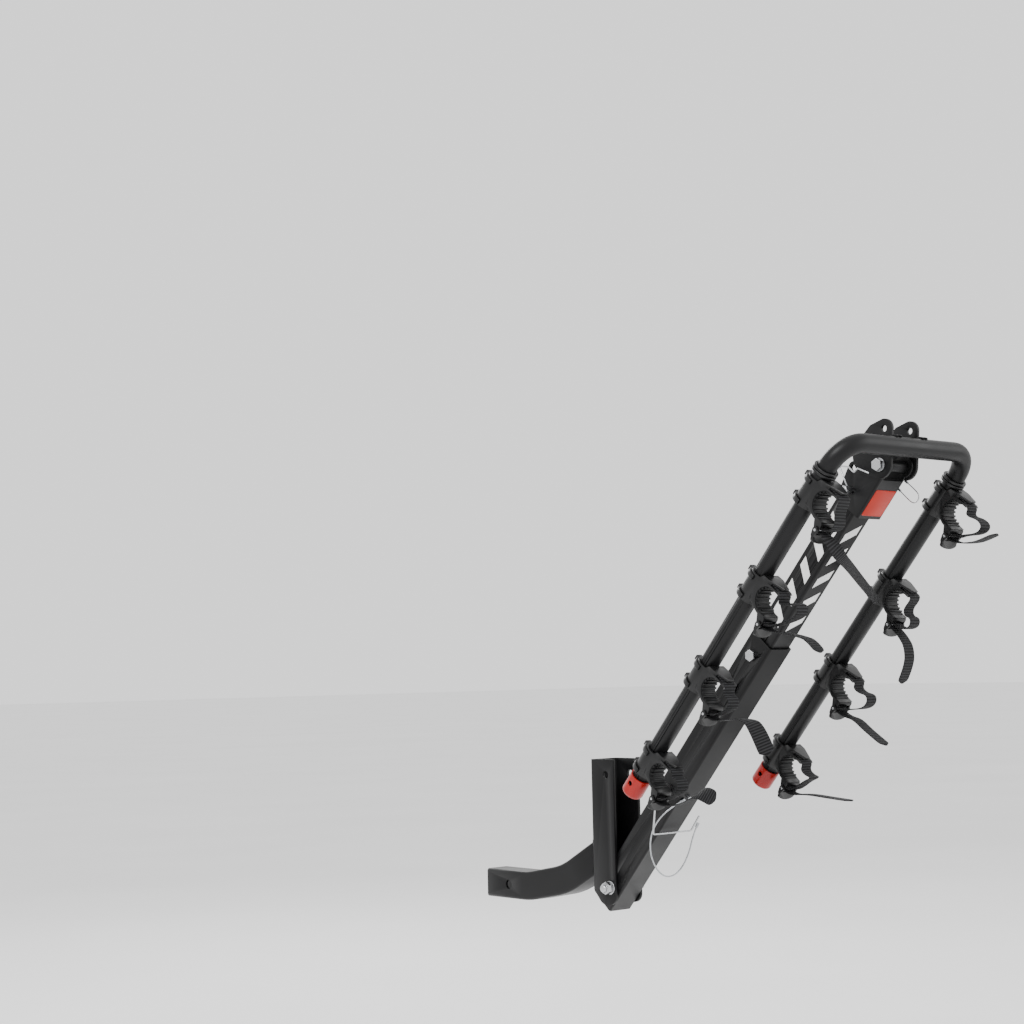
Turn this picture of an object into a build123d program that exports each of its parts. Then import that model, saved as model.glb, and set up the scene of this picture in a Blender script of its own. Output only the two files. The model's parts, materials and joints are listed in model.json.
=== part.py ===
from build123d import *

import os
from math import atan2, cos, degrees, hypot, radians, sin, tan

# Folding bicycle rack for a square receiver hitch.
# Frame: +X across the vehicle, -Y rearward, +Z up. The origin is the centre of the hitch pin hole.
# The rack is modelled stowed: the mast leans back on its stop and the arms hang parallel to it.

# ---- receiver shank (square tube) ----
SHANK = 50.8
SHANK_WALL = 4.8
HITCH_PIN_HOLE = 16.26
SHANK_NOSE = 60.0             # from the pin hole to the inner end
FIRST_BEND_BACK = 52.0        # pin hole to the first bend
FIRST_BEND = 10.5             # degrees
SECOND_BEND_BACK = 150.0
SECOND_BEND = 18.2
SHANK_BEND_RADIUS = 170.0
WELD_LEG = 5.0

# ---- folded channel that carries the mast ----
PIVOT_BACK = 276.1            # pin hole to the lower pivot
PIVOT_UP = 13.8
PLATE = 5.0
CHANNEL_INNER = 53.0
CHANNEL_FRONT = 43.8          # pivot to the front face of the web
CHANNEL_REAR = 13.4           # pivot to the rear edges
CHANNEL_TOP = 217.4           # pivot to the top edges
CHANNEL_BOTTOM = 29.6
CHANNEL_CORNER = 8.0
LOCK_RISE = 190.9             # pivot to the lock hole

# ---- mast ----
TILT = 41.4                   # degrees from upright when it rests on the stop
AXIS_OFFSET = 5.5             # the mast's axis runs this far in front of the pivot
STOP_GAP = 0.3
LOWER_MAST = 50.8
LOWER_MAST_WALL = 3.0
MAST_HEEL = 38.0              # tube below the pivot
LOWER_MAST_TOP = 547.0
UPPER_MAST = 44.45
UPPER_MAST_WALL = 3.0
UPPER_MAST_FOOT = 400.0
UPPER_MAST_TOP = 864.0
MAST_BOLT_PLACES = (440.0, 514.0)
MAST_BOLT = 10.0

# ---- bolts, pins and their clearances ----
PIVOT_BOLT = 12.7
RUNNING = 0.05                # radial clearance of a pivot
PIN_CLEARANCE = 0.4           # radial clearance of a lock pin
SLEEVE_WALL = 3.2
BOLT_HEAD = 19.0
HEAD_HEIGHT = 8.0
WASHER = 25.0
WASHER_THICKNESS = 2.0
TILT_PIN = 12.7
TILT_PIN_PARK = 225.5
HEAD_PIN = 9.5
HEAD_PIN_PARK = 842.5

# ---- head of the mast ----
HEAD_PIVOT = (907.0, 22.5)    # along the mast, behind its axis
HEAD_INNER = 45.2
HEAD_BOTTOM = 816.0
HEAD_WEB_TOP = 888.0
HEAD_REAR = 35.5
EAR_REACH = 54.6              # head pivot to the ear hole
EAR_ANGLE = -30.3
RAISE = 100.0                 # degrees the arms lift from stowed to level
KNUCKLE_GAP = 0.4
LABEL_WIDTH = 47.0
LABEL_LENGTH = 48.0
LABEL_THICKNESS = 0.6

# ---- U-shaped carry arms ----
ARM_TUBE = 30.0
ARM_WALL = 2.5
ARM_SPACING = 304.8
ARM_BACK = 28.9               # arm axis behind the mast axis
CROSSBAR_PLACE = 945.4
ARM_END = 256.0
ARM_BEND = 45.0
CAP_LENGTH = 37.0
CAP_DIAMETER = 35.4
CAP_HOLE = 8.5

# ---- cradles ----
CRADLE_PITCH = 177.8
FIRST_CRADLE = 859.5
CRADLES = 4
CRADLE_WIDTH = 32.0
SLEEVE_SKIN = 3.2
SLEEVE_LOW = -28.0
SLEEVE_HIGH = 20.0
CLAMP_PLACES = (13.0, -23.0)
CLAMP_WIDTH = 8.0
CLAMP_HEIGHT = 3.2
CUP_OFFSET = 40.0             # arm axis to cup centre
CUP_RADIUS = 21.0
CUP_WALL = 4.5
PAD_SKIN = 1.0
RIB_HEIGHT = 2.8
RIB_COUNT = 10
RIB_WIDTH = 3.0
LIP = 46.0
BEAK_TIP = (31.0, 52.0)
BEAK_ROOT = 27.0
STRAP_SLOT = 3.0
STRAP_WIDTH = 25.0
STRAP_THICKNESS = 1.8
HINGE_BAR = 4.0
BARREL_PLACE = (-26.7, 50.5)
BARREL_RADIUS = 5.0
HINGE_PLACE = (-36.5, 51.5)
LEVER_CHEEK = 2.2
LEVER_BAR_PLACE = (-45.0, 52.0)
LEVER_TIP = (-57.0, 57.0)
LEVER_THICKNESS = 4.6
FIT_GAP = 0.15                # between a moulded sleeve and its tube
SOFT_GAP = 0.35

os.makedirs("parts", exist_ok=True)

# ---- shared places and planes ----
PIVOT = Vector(0, -PIVOT_BACK, PIVOT_UP)
ALONG = Vector(0, -sin(radians(TILT)), cos(radians(TILT)))
BEHIND = Vector(0, -cos(radians(TILT)), -sin(radians(TILT)))
MAST_ROOT = PIVOT - BEHIND * AXIS_OFFSET
MAST = Plane(origin=MAST_ROOT, x_dir=ALONG, z_dir=(1, 0, 0))
CHANNEL_OUTER = CHANNEL_INNER + 2 * PLATE
HEAD_OUTER = HEAD_INNER + 2 * PLATE
KNUCKLE_INNER = HEAD_OUTER + 2 * KNUCKLE_GAP
KNUCKLE_OUTER = KNUCKLE_INNER + 2 * PLATE
CRADLE_PLACES = [FIRST_CRADLE - i * CRADLE_PITCH for i in range(CRADLES)]


def mast_point(x, along, behind):
    """World place of a point given across, along and behind the mast."""
    return MAST_ROOT + ALONG * along + BEHIND * behind + Vector(x, 0, 0)


def polar(centre, reach, angle):
    """A point at a distance and an angle in degrees from a centre."""
    return (centre[0] + reach * cos(radians(angle)), centre[1] + reach * sin(radians(angle)))


EAR_HOLE = polar(HEAD_PIVOT, EAR_REACH, EAR_ANGLE)
LOCK_HOLE = polar(HEAD_PIVOT, EAR_REACH, EAR_ANGLE - RAISE)


def corner_radii(points, share=0.45, largest=1e9):
    """Radius of each corner's arc, from the shorter run beside it and the turn."""
    radii = []
    for before, here, after in zip(points, points[1:], points[2:]):
        first = Vector(*here) - Vector(*before)
        second = Vector(*after) - Vector(*here)
        half_turn = radians(first.get_angle(second)) / 2
        radii.append(min(largest, share * min(first.length, second.length) / tan(half_turn)))
    return radii


def finish_part(builder, name, folder="parts"):
    """Label a finished piece and write it as a STEP file."""
    builder.part.label = name
    export_step(builder.part, f"{folder}/{name}.step")


def across(x):
    """The mast's side plane moved sideways."""
    return MAST.offset(x)


# ---------------------------------------------------------------- hitch bracket
web_front = -PIVOT_BACK + CHANNEL_FRONT
second_bend_rise = (SECOND_BEND_BACK - FIRST_BEND_BACK) * tan(radians(FIRST_BEND))
shank_slope = FIRST_BEND + SECOND_BEND
web_run = -web_front - SECOND_BEND_BACK
shank_exit = second_bend_rise + web_run * tan(radians(shank_slope))
overrun = SHANK
shank_points = [
    (0, SHANK_NOSE, 0),
    (0, -FIRST_BEND_BACK, 0),
    (0, -SECOND_BEND_BACK, second_bend_rise),
    (0, web_front - overrun, shank_exit + overrun * tan(radians(shank_slope))),
]

with BuildPart() as shank_tube:
    with BuildLine():
        FilletPolyline(*shank_points, radius=SHANK_BEND_RADIUS)
    with BuildSketch(Plane(origin=shank_points[0], x_dir=(1, 0, 0), z_dir=(0, -1, 0))):
        RectangleRounded(SHANK, SHANK, 5)
        RectangleRounded(SHANK - 2 * SHANK_WALL, SHANK - 2 * SHANK_WALL, 1.5, mode=Mode.SUBTRACT)
    sweep()
    split(bisect_by=Plane(origin=(0, web_front, 0), z_dir=(0, 1, 0)), keep=Keep.TOP)
    with BuildSketch(Plane.YZ):
        Circle(HITCH_PIN_HOLE / 2)
    extrude(amount=SHANK, both=True, mode=Mode.SUBTRACT)
finish_part(shank_tube, "shank_tube")

with BuildPart() as shank_weld:
    weld_high = (SHANK + WELD_LEG) / cos(radians(shank_slope))
    with BuildSketch(Plane(origin=(0, web_front, shank_exit), x_dir=(1, 0, 0), z_dir=(0, 1, 0))):
        RectangleRounded(SHANK + 1.6 * WELD_LEG, weld_high + WELD_LEG / 2, 6)
    extrude(amount=WELD_LEG, taper=40)
    with BuildLine():
        FilletPolyline(*shank_points, radius=SHANK_BEND_RADIUS)
    with BuildSketch(Plane(origin=shank_points[0], x_dir=(1, 0, 0), z_dir=(0, -1, 0))):
        RectangleRounded(SHANK, SHANK, 5)
    sweep(mode=Mode.SUBTRACT)
finish_part(shank_weld, "shank_weld")

web_inner = CHANNEL_FRONT - PLATE
stop_reach = LOWER_MAST / 2 + AXIS_OFFSET + STOP_GAP
web_bottom = (stop_reach - web_inner * cos(radians(TILT))) / sin(radians(TILT))

with BuildPart() as bracket_channel:
    top_plane = Plane(origin=PIVOT + Vector(0, 0, -CHANNEL_BOTTOM))
    with BuildSketch(top_plane):
        with Locations((0, (CHANNEL_FRONT - CHANNEL_REAR) / 2)):
            Rectangle(CHANNEL_OUTER, CHANNEL_FRONT + CHANNEL_REAR)
        with Locations((0, (web_inner - CHANNEL_REAR) / 2)):
            Rectangle(CHANNEL_INNER, web_inner + CHANNEL_REAR, mode=Mode.SUBTRACT)
    extrude(amount=CHANNEL_TOP + CHANNEL_BOTTOM)
    fillet(bracket_channel.edges().filter_by(Axis.Z).group_by(Axis.Y)[-1], PLATE)
    side = Plane(origin=PIVOT, x_dir=(0, 1, 0), z_dir=(1, 0, 0))
    with BuildSketch(side):
        Polygon(
            (CHANNEL_FRONT, CHANNEL_TOP),
            (-CHANNEL_REAR, CHANNEL_TOP),
            (-CHANNEL_REAR, -CHANNEL_BOTTOM),
            (CHANNEL_FRONT - 24, -CHANNEL_BOTTOM),
            (CHANNEL_FRONT, web_bottom - 6),
            align=None,
        )
        heel = vertices().sort_by(Axis.Z)[:2]
        fillet(heel, 17)
        fillet(vertices().sort_by(Axis.Y).group_by(Axis.Z)[-1].sort_by(Axis.Y)[0], CHANNEL_CORNER)
    extrude(amount=CHANNEL_OUTER, both=True, mode=Mode.INTERSECT)
    with BuildSketch(side):
        with Locations((CHANNEL_FRONT, web_bottom - 30)):
            Rectangle(4 * PLATE, 60)
    extrude(amount=CHANNEL_INNER / 2, both=True, mode=Mode.SUBTRACT)
    with BuildSketch(side):
        Circle(PIVOT_BOLT / 2 + RUNNING)
        with Locations((AXIS_OFFSET, LOCK_RISE)):
            Circle(TILT_PIN / 2 + PIN_CLEARANCE)
    extrude(amount=CHANNEL_OUTER, both=True, mode=Mode.SUBTRACT)
finish_part(bracket_channel, "bracket_channel")


def hex_bolt(name, place, size, head_at, tip_at, head=BOLT_HEAD, height=HEAD_HEIGHT):
    """A hex bolt lying across the rack, from its head's seat to its tip."""
    toward = 1 if head_at > tip_at else -1
    with BuildPart() as bolt:
        with BuildSketch(Plane(origin=place + Vector(head_at, 0, 0), z_dir=(toward, 0, 0))):
            RegularPolygon(head / 2, 6, major_radius=False)
        extrude(amount=height)
        chamfer(bolt.faces().sort_by(Axis.X)[-1 if toward > 0 else 0].edges(), height / 10)
        with BuildSketch(Plane(origin=place + Vector(head_at, 0, 0), z_dir=(-toward, 0, 0))):
            Circle(size / 2)
        extrude(amount=abs(head_at - tip_at))
        chamfer(bolt.faces().sort_by(Axis.X)[0 if toward > 0 else -1].edges(), size / 12)
    finish_part(bolt, name)


def hex_nut(name, place, size, seat, toward, height, head=BOLT_HEAD):
    """A lock nut with its rounded collar, screwed up to its seat."""
    with BuildPart() as nut:
        with BuildSketch(Plane(origin=place + Vector(seat, 0, 0), z_dir=(toward, 0, 0))):
            RegularPolygon(head / 2, 6, major_radius=False)
            Circle(size / 2 + RUNNING, mode=Mode.SUBTRACT)
        extrude(amount=height)
        with BuildSketch(Plane(origin=place + Vector(seat + toward * height, 0, 0), z_dir=(toward, 0, 0))):
            Circle(head / 2 * 0.92)
            Circle(size / 2 + RUNNING, mode=Mode.SUBTRACT)
        extrude(amount=height / 4)
    finish_part(nut, name)


def washers(name, place, size, seats, outer=WASHER):
    """A pair of washers, each given by its inner face and its side."""
    with BuildPart() as pair:
        for seat, toward in seats:
            with BuildSketch(Plane(origin=place + Vector(seat, 0, 0), z_dir=(toward, 0, 0))):
                Circle(outer / 2)
                Circle(size / 2 + RUNNING, mode=Mode.SUBTRACT)
            extrude(amount=WASHER_THICKNESS)
    finish_part(pair, name)


lower_side = CHANNEL_OUTER / 2
hex_bolt("lower_pivot_bolt", PIVOT, PIVOT_BOLT, lower_side + WASHER_THICKNESS, -lower_side - 19, head=17)
hex_nut("lower_pivot_nut", PIVOT, PIVOT_BOLT, -lower_side - WASHER_THICKNESS, -1, 10)
washers("lower_pivot_washers", PIVOT, PIVOT_BOLT, [(lower_side, 1), (-lower_side, -1)], outer=23)

# ---------------------------------------------------------------- mast tubes
mast_foot = Plane(origin=mast_point(0, -MAST_HEEL, 0), x_dir=(1, 0, 0), z_dir=ALONG)
with BuildPart() as lower_mast_tube:
    with BuildSketch(mast_foot):
        RectangleRounded(LOWER_MAST, LOWER_MAST, 4)
        RectangleRounded(LOWER_MAST - 2 * LOWER_MAST_WALL, LOWER_MAST - 2 * LOWER_MAST_WALL, 1.2,
                         mode=Mode.SUBTRACT)
    extrude(amount=MAST_HEEL + LOWER_MAST_TOP)
    with BuildSketch(MAST):
        with Locations((0, AXIS_OFFSET)):
            Circle(PIVOT_BOLT / 2 + RUNNING)
        with Locations((LOCK_RISE, 0), (TILT_PIN_PARK, 0)):
            Circle(TILT_PIN / 2 + PIN_CLEARANCE)
        with Locations(*[(place, 0) for place in MAST_BOLT_PLACES]):
            Circle(MAST_BOLT / 2 + FIT_GAP)
    extrude(amount=LOWER_MAST, both=True, mode=Mode.SUBTRACT)
finish_part(lower_mast_tube, "lower_mast_tube")

upper_foot = Plane(origin=mast_point(0, UPPER_MAST_FOOT, 0), x_dir=(1, 0, 0), z_dir=ALONG)
with BuildPart() as upper_mast_tube:
    with BuildSketch(upper_foot):
        RectangleRounded(UPPER_MAST, UPPER_MAST, 4)
        RectangleRounded(UPPER_MAST - 2 * UPPER_MAST_WALL, UPPER_MAST - 2 * UPPER_MAST_WALL, 1.2,
                         mode=Mode.SUBTRACT)
    extrude(amount=UPPER_MAST_TOP - UPPER_MAST_FOOT)
    with BuildSketch(MAST):
        with Locations((HEAD_PIN_PARK, 0)):
            Circle(HEAD_PIN / 2 + PIN_CLEARANCE)
        with Locations(*[(place, 0) for place in MAST_BOLT_PLACES]):
            Circle(MAST_BOLT / 2 + FIT_GAP)
    extrude(amount=LOWER_MAST, both=True, mode=Mode.SUBTRACT)
finish_part(upper_mast_tube, "upper_mast_tube")

mast_side = LOWER_MAST / 2
with BuildPart() as mast_bolts:
    for bolt_place in MAST_BOLT_PLACES:
        with BuildSketch(Plane(origin=mast_point(-mast_side, bolt_place, 0), z_dir=(-1, 0, 0))):
            RegularPolygon(17 / 2, 6, major_radius=False)
        extrude(amount=6.4)
        with BuildSketch(Plane(origin=mast_point(-mast_side, bolt_place, 0), z_dir=(1, 0, 0))):
            Circle(MAST_BOLT / 2)
        extrude(amount=LOWER_MAST + 11)
    chamfer(mast_bolts.faces().group_by(Axis.X)[0].edges(), 0.8)
finish_part(mast_bolts, "mast_bolts")

with BuildPart() as mast_nuts:
    for bolt_place in MAST_BOLT_PLACES:
        with BuildSketch(Plane(origin=mast_point(mast_side, bolt_place, 0), z_dir=(1, 0, 0))):
            RegularPolygon(17 / 2, 6, major_radius=False)
            Circle(MAST_BOLT / 2 + RUNNING, mode=Mode.SUBTRACT)
        extrude(amount=8)
finish_part(mast_nuts, "mast_nuts")

# ---------------------------------------------------------------- head of the mast
with BuildPart() as head_bracket:
    for side_sign in (-1, 1):
        with BuildSketch(across(side_sign * HEAD_INNER / 2)):
            Polygon(
                (HEAD_BOTTOM, HEAD_REAR),
                (HEAD_BOTTOM, 0),
                (HEAD_BOTTOM + 22, -22),
                (LOCK_HOLE[0] - 6, LOCK_HOLE[1] - 9),
                (LOCK_HOLE[0] + 8, LOCK_HOLE[1] - 5),
                (LOCK_HOLE[0] + 9, LOCK_HOLE[1] + 6),
                (HEAD_PIVOT[0] - 20, HEAD_PIVOT[1] - 21),
                (HEAD_PIVOT[0] - 14, HEAD_PIVOT[1] - 9),
                (HEAD_PIVOT[0], HEAD_PIVOT[1]),
                (HEAD_PIVOT[0] - 7, HEAD_REAR),
                align=None,
            )
            with Locations(HEAD_PIVOT):
                Circle(17)
            with Locations(LOCK_HOLE):
                Circle(10)
        extrude(amount=side_sign * PLATE)
    with BuildSketch(MAST):
        with Locations(((HEAD_BOTTOM + HEAD_WEB_TOP) / 2, HEAD_REAR - PLATE / 2)):
            Rectangle(HEAD_WEB_TOP - HEAD_BOTTOM, PLATE)
    extrude(amount=HEAD_OUTER / 2, both=True)
    rear_face = head_bracket.faces().filter_by(lambda f: f.normal_at().dot(BEHIND) > 0.99)
    rear_corners = rear_face.edges().filter_by(lambda e: abs(e.tangent_at(0.5).dot(ALONG)) > 0.99)
    fillet(rear_corners.filter_by(lambda e: abs(e.center().X) > HEAD_OUTER / 2 - 0.1), 3.5)
    with BuildSketch(MAST):
        with Locations(HEAD_PIVOT):
            Circle(PIVOT_BOLT / 2 + RUNNING)
        with Locations(LOCK_HOLE, (HEAD_PIN_PARK, 0)):
            Circle(HEAD_PIN / 2 + PIN_CLEARANCE)
    extrude(amount=HEAD_OUTER, both=True, mode=Mode.SUBTRACT)
finish_part(head_bracket, "head_bracket")

label_centre = HEAD_BOTTOM + 6 + LABEL_LENGTH / 2
with BuildPart() as head_label:
    with BuildSketch(Plane(origin=mast_point(0, label_centre, HEAD_REAR), x_dir=(1, 0, 0), z_dir=BEHIND)):
        RectangleRounded(LABEL_WIDTH, LABEL_LENGTH, 3)
    extrude(amount=LABEL_THICKNESS)
finish_part(head_label, "head_label")

head_place = mast_point(0, *HEAD_PIVOT)
knuckle_side = KNUCKLE_OUTER / 2 + 2 * RUNNING
hex_bolt("head_pivot_bolt", head_place, PIVOT_BOLT, -knuckle_side - WASHER_THICKNESS, knuckle_side + 15,
         head=17, height=7)
hex_nut("head_pivot_nut", head_place, PIVOT_BOLT, knuckle_side + WASHER_THICKNESS, 1, 9)
washers("head_pivot_washers", head_place, PIVOT_BOLT, [(knuckle_side, 1), (-knuckle_side, -1)],
        outer=20.5)

lower_sleeve_length = LOWER_MAST - 2 * LOWER_MAST_WALL - 2 * FIT_GAP
head_sleeve_length = HEAD_INNER - 2 * FIT_GAP
with BuildPart() as pivot_sleeves:
    for place, length in ((PIVOT, lower_sleeve_length), (head_place, head_sleeve_length)):
        with BuildSketch(Plane(origin=place, z_dir=(1, 0, 0))):
            Circle(PIVOT_BOLT / 2 + RUNNING + SLEEVE_WALL)
            Circle(PIVOT_BOLT / 2 + RUNNING, mode=Mode.SUBTRACT)
        extrude(amount=length / 2, both=True)
finish_part(pivot_sleeves, "pivot_sleeves")


# ---------------------------------------------------------------- pins, clips and their lanyards
PIN_TIP = 34.0
KNOB_INNER = 33.2
KNOB_OUTER = 50.0
KNOB = 15.0
BAIL_WIRE = 3.2
BAIL_SIDE = 45.0
BAIL_LOW = (153.0, 32.0)
CLIP_WIRE = 2.6
HEAD_KNOB = 13.0
HEAD_KNOB_INNER = 35.0
HEAD_KNOB_OUTER = 48.0


def bent_wire(name, points, diameter, radius):
    """A round wire bent through the points."""
    with BuildPart() as bent:
        with BuildLine() as path:
            FilletPolyline(*points, radius=radius)
        with BuildSketch(Plane(origin=path.line @ 0, z_dir=path.line % 0)):
            Circle(diameter / 2)
        sweep(path=path.line)
    finish_part(bent, name)


def lock_pin(name, park, size, knob, knob_inner, knob_outer):
    """A plain pin across the mast with a turned knob on its near end."""
    with BuildPart() as pin:
        with BuildSketch(Plane(origin=mast_point(PIN_TIP, park, 0), z_dir=(-1, 0, 0))):
            Circle(size / 2)
        extrude(amount=PIN_TIP + knob_outer)
        chamfer(pin.faces().sort_by(Axis.X)[-1].edges(), size / 7)
        with BuildSketch(Plane(origin=mast_point(-knob_inner, park, 0), z_dir=(-1, 0, 0))):
            Circle(knob / 2)
        extrude(amount=knob_outer - knob_inner)
        chamfer(pin.faces().sort_by(Axis.X)[0].edges(), knob / 10)
    finish_part(pin, name)


lock_pin("tilt_pin", TILT_PIN_PARK, TILT_PIN, KNOB, KNOB_INNER, KNOB_OUTER)
lock_pin("head_lock_pin", HEAD_PIN_PARK, HEAD_PIN, HEAD_KNOB, HEAD_KNOB_INNER, HEAD_KNOB_OUTER)

bail_points = [
    mast_point(-BAIL_SIDE, TILT_PIN_PARK - KNOB / 2, 1),
    mast_point(-BAIL_SIDE, BAIL_LOW[0] + 40, 6),
    mast_point(-BAIL_SIDE, *BAIL_LOW),
    mast_point(BAIL_SIDE, *BAIL_LOW),
    mast_point(BAIL_SIDE, BAIL_LOW[0] + 32, 30),
]
bent_wire("tilt_pin_bail", bail_points, BAIL_WIRE, 4.0)

tilt_clip_side = -(KNOB_INNER + KNOB_OUTER) / 2 + 3
tilt_clip_points = [
    mast_point(tilt_clip_side, TILT_PIN_PARK - KNOB / 2, -2.0),
    mast_point(tilt_clip_side, TILT_PIN_PARK - 30, -2.0),
    mast_point(tilt_clip_side, TILT_PIN_PARK - 44, 4.0),
    mast_point(tilt_clip_side, TILT_PIN_PARK - 34, 11.0),
    mast_point(tilt_clip_side, TILT_PIN_PARK - 22, 4.5),
    mast_point(tilt_clip_side, TILT_PIN_PARK - 10, 10.0),
    mast_point(tilt_clip_side, TILT_PIN_PARK + 3, 9.4),
]
bent_wire("tilt_pin_clip", tilt_clip_points, CLIP_WIRE, 2.2)

head_clip_side = -(HEAD_KNOB_INNER + HEAD_KNOB_OUTER) / 2
head_clip_points = [
    mast_point(head_clip_side, HEAD_PIN_PARK + HEAD_KNOB / 2 + 0.3, -1.5),
    mast_point(head_clip_side, HEAD_PIN_PARK + 14.5, -20),
    mast_point(head_clip_side, HEAD_PIN_PARK + 21.5, -33),
    mast_point(head_clip_side, HEAD_PIN_PARK + 30.5, -18),
    mast_point(head_clip_side, HEAD_PIN_PARK + 30.5, -4),
    mast_point(head_clip_side, HEAD_PIN_PARK + 39.5, -2),
    mast_point(head_clip_side, HEAD_PIN_PARK + 46.5, 20),
]
bent_wire("head_pin_clip", head_clip_points, CLIP_WIRE, 2.2)

# ---------------------------------------------------------------- carry arms
arm_half = ARM_SPACING / 2
arm_points = [
    mast_point(-arm_half, ARM_END, ARM_BACK),
    mast_point(-arm_half, CROSSBAR_PLACE, ARM_BACK),
    mast_point(arm_half, CROSSBAR_PLACE, ARM_BACK),
    mast_point(arm_half, ARM_END, ARM_BACK),
]
cap_hole_place = ARM_END + CAP_LENGTH / 2
with BuildPart() as arm_tube:
    with BuildLine() as arm_path:
        FilletPolyline(*arm_points, radius=ARM_BEND)
    with BuildSketch(Plane(origin=arm_points[0], x_dir=(1, 0, 0), z_dir=ALONG)):
        Circle(ARM_TUBE / 2)
        Circle(ARM_TUBE / 2 - ARM_WALL, mode=Mode.SUBTRACT)
    sweep()
    with BuildSketch(MAST):
        with Locations((cap_hole_place, ARM_BACK)):
            Circle(CAP_HOLE / 2)
    extrude(amount=ARM_SPACING, both=True, mode=Mode.SUBTRACT)
finish_part(arm_tube, "arm_tube")

with BuildPart() as knuckle_plates:
    for side_sign in (-1, 1):
        with BuildSketch(across(side_sign * KNUCKLE_INNER / 2)):
            with Locations(HEAD_PIVOT):
                Circle(21)
            with Locations(EAR_HOLE):
                Circle(15)
            with Locations((HEAD_PIVOT[0] - 2, HEAD_PIVOT[1] - 26.5)):
                Circle(29.5)
            with Locations((HEAD_PIVOT[0] + 33, HEAD_PIVOT[1] - 44.5)):
                Circle(8)
            make_hull()
            with Locations((CROSSBAR_PLACE, ARM_BACK)):
                Circle(ARM_TUBE / 2, mode=Mode.SUBTRACT)
            with Locations(HEAD_PIVOT):
                Circle(PIVOT_BOLT / 2 + RUNNING, mode=Mode.SUBTRACT)
            with Locations(EAR_HOLE):
                Circle(HEAD_PIN / 2 + PIN_CLEARANCE, mode=Mode.SUBTRACT)
        extrude(amount=side_sign * PLATE)
finish_part(knuckle_plates, "knuckle_plates")

for side_sign, side_name in ((-1, "left"), (1, "right")):
    cap_foot = Plane(
        origin=mast_point(side_sign * arm_half, ARM_END - 5, ARM_BACK), x_dir=(1, 0, 0), z_dir=ALONG)
    with BuildPart() as end_cap:
        with BuildSketch(cap_foot):
            Circle(CAP_DIAMETER / 2)
        extrude(amount=CAP_LENGTH)
        low_rim = end_cap.faces().sort_by(Axis.Z)[0].edges()
        fillet(low_rim, 6)
        with BuildSketch(cap_foot.offset(5)):
            Circle(ARM_TUBE / 2 + FIT_GAP)
        extrude(amount=CAP_LENGTH, mode=Mode.SUBTRACT)
        with BuildSketch(MAST):
            with Locations((cap_hole_place, ARM_BACK)):
                Circle(CAP_HOLE / 2)
        extrude(amount=ARM_SPACING, both=True, mode=Mode.SUBTRACT)
    finish_part(end_cap, f"end_cap_{side_name}")


# ---------------------------------------------------------------- cradles, pads, clamps
def cradle_plane(side_sign, place):
    """Side plane of one cradle: origin on the arm's axis, x along the arm, y towards the cup."""
    return Plane(origin=mast_point(side_sign * arm_half, place, ARM_BACK), x_dir=ALONG, z_dir=(1, 0, 0))


def hollow(radius, mode):
    """A cup's hollow seen from the side: round at the bottom and open at the top."""
    with Locations((0, (CUP_OFFSET + 3 * LIP) / 2)):
        SlotCenterToCenter(3 * LIP - CUP_OFFSET, 2 * radius, rotation=90, mode=mode)


slot_middle = CUP_RADIUS + 2.2 + STRAP_SLOT / 2
sleeve_radius = ARM_TUBE / 2 + FIT_GAP + SLEEVE_SKIN
ear_inner = STRAP_WIDTH / 2 + 1.0
lever_inner = CRADLE_WIDTH / 2 + 0.4


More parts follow.
